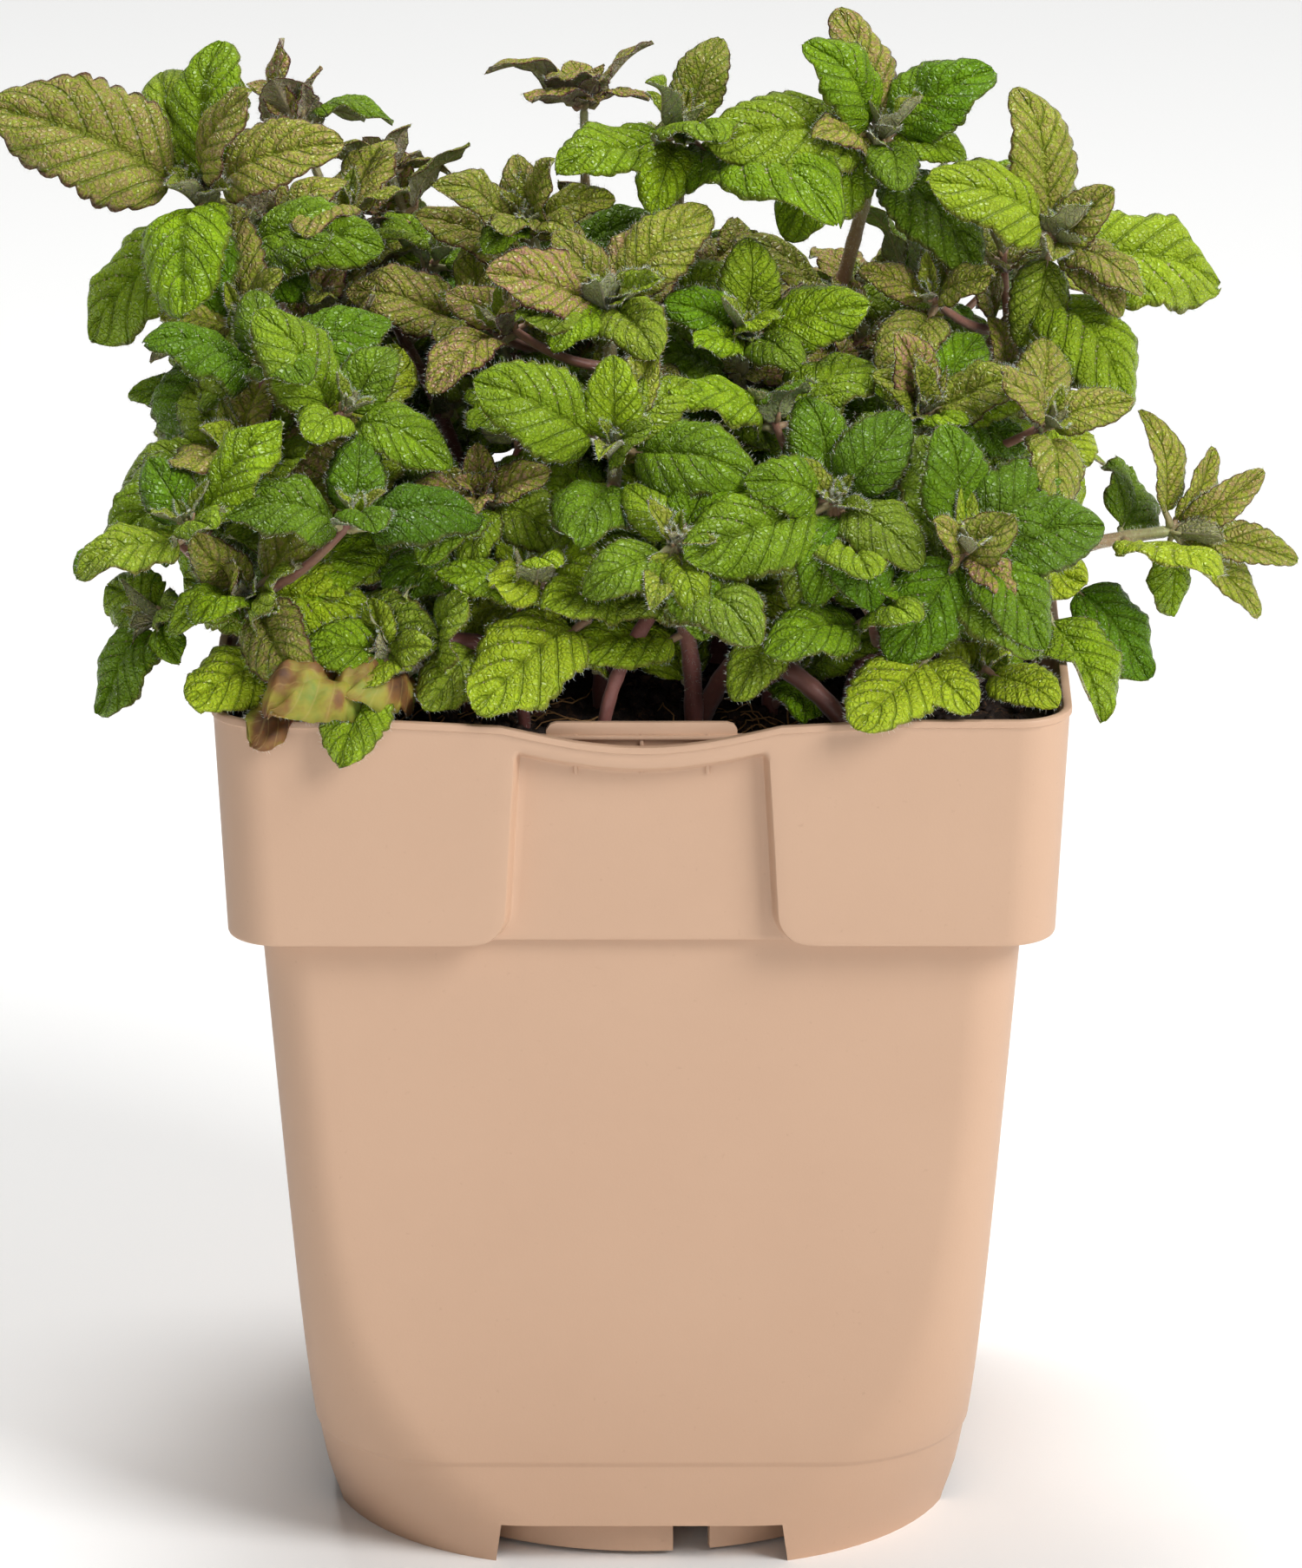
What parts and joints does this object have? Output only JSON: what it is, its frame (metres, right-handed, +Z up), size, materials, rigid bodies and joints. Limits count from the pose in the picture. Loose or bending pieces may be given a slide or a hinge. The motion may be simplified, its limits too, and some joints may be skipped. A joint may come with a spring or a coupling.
{
  "type": "potted wild basil",
  "caption": "Bushy wild basil plant with small toothed leaves on reddish stems, growing in a square tapered plastic nursery pot with a stepped collar and notched foot.",
  "frame": {"origin": "on the pot's vertical axis at the level of its feet", "axes": "+Z up, -Y towards the front of the pot, where the label tab is"},
  "size_m": [0.2022, 0.133, 0.2357],
  "materials": {
    "pot_plastic": "moulded polypropylene, matte taupe",
    "peat_soil": "moist dark peat compost, rough",
    "stem_skin": "downy herb stem, reddish",
    "leaf_skin": "satin green leaf, finely hairy"
  },
  "bodies": {
    "root": {"leaf_01_a": "leaf_skin", "leaf_01_b": "leaf_skin", "leaf_04_a": "leaf_skin", "leaf_04_b": "leaf_skin", "leaf_05_a": "leaf_skin", "leaf_05_b": "leaf_skin", "leaf_06_a": "leaf_skin", "leaf_06_b": "leaf_skin", "leaf_08_a": "leaf_skin", "leaf_08_b": "leaf_skin", "leaf_10_a": "leaf_skin", "leaf_10_b": "leaf_skin", "leaf_11_a": "leaf_skin", "leaf_11_b": "leaf_skin", "leaf_12_a": "leaf_skin", "leaf_12_b": "leaf_skin", "leaf_13_a": "leaf_skin", "leaf_13_b": "leaf_skin", "leaf_15_a": "leaf_skin", "leaf_15_b": "leaf_skin", "leaf_16_a": "leaf_skin", "leaf_16_b": "leaf_skin", "leaf_17_a": "leaf_skin", "leaf_17_b": "leaf_skin", "leaf_18_a": "leaf_skin", "leaf_18_b": "leaf_skin", "leaf_19_a": "leaf_skin", "leaf_19_b": "leaf_skin", "leaf_21_a": "leaf_skin", "leaf_21_b": "leaf_skin", "leaf_22_a": "leaf_skin", "leaf_22_b": "leaf_skin", "leaf_24_a": "leaf_skin", "leaf_24_b": "leaf_skin", "pot": "pot_plastic", "soil": "peat_soil", "stem_01": "stem_skin", "stem_02": "stem_skin", "stem_03": "stem_skin", "stem_04": "stem_skin", "stem_05": "stem_skin", "stem_06": "stem_skin", "stem_07": "stem_skin", "stem_08": "stem_skin", "stem_09": "stem_skin", "stem_10": "stem_skin", "stem_11": "stem_skin", "stem_12": "stem_skin", "stem_13": "stem_skin", "stem_14": "stem_skin", "stem_15": "stem_skin", "stem_16": "stem_skin", "stem_17": "stem_skin", "stem_18": "stem_skin", "stem_19": "stem_skin", "stem_20": "stem_skin", "stem_21": "stem_skin", "stem_22": "stem_skin", "stem_23": "stem_skin", "stem_24": "stem_skin"}
  },
  "joints": []
}
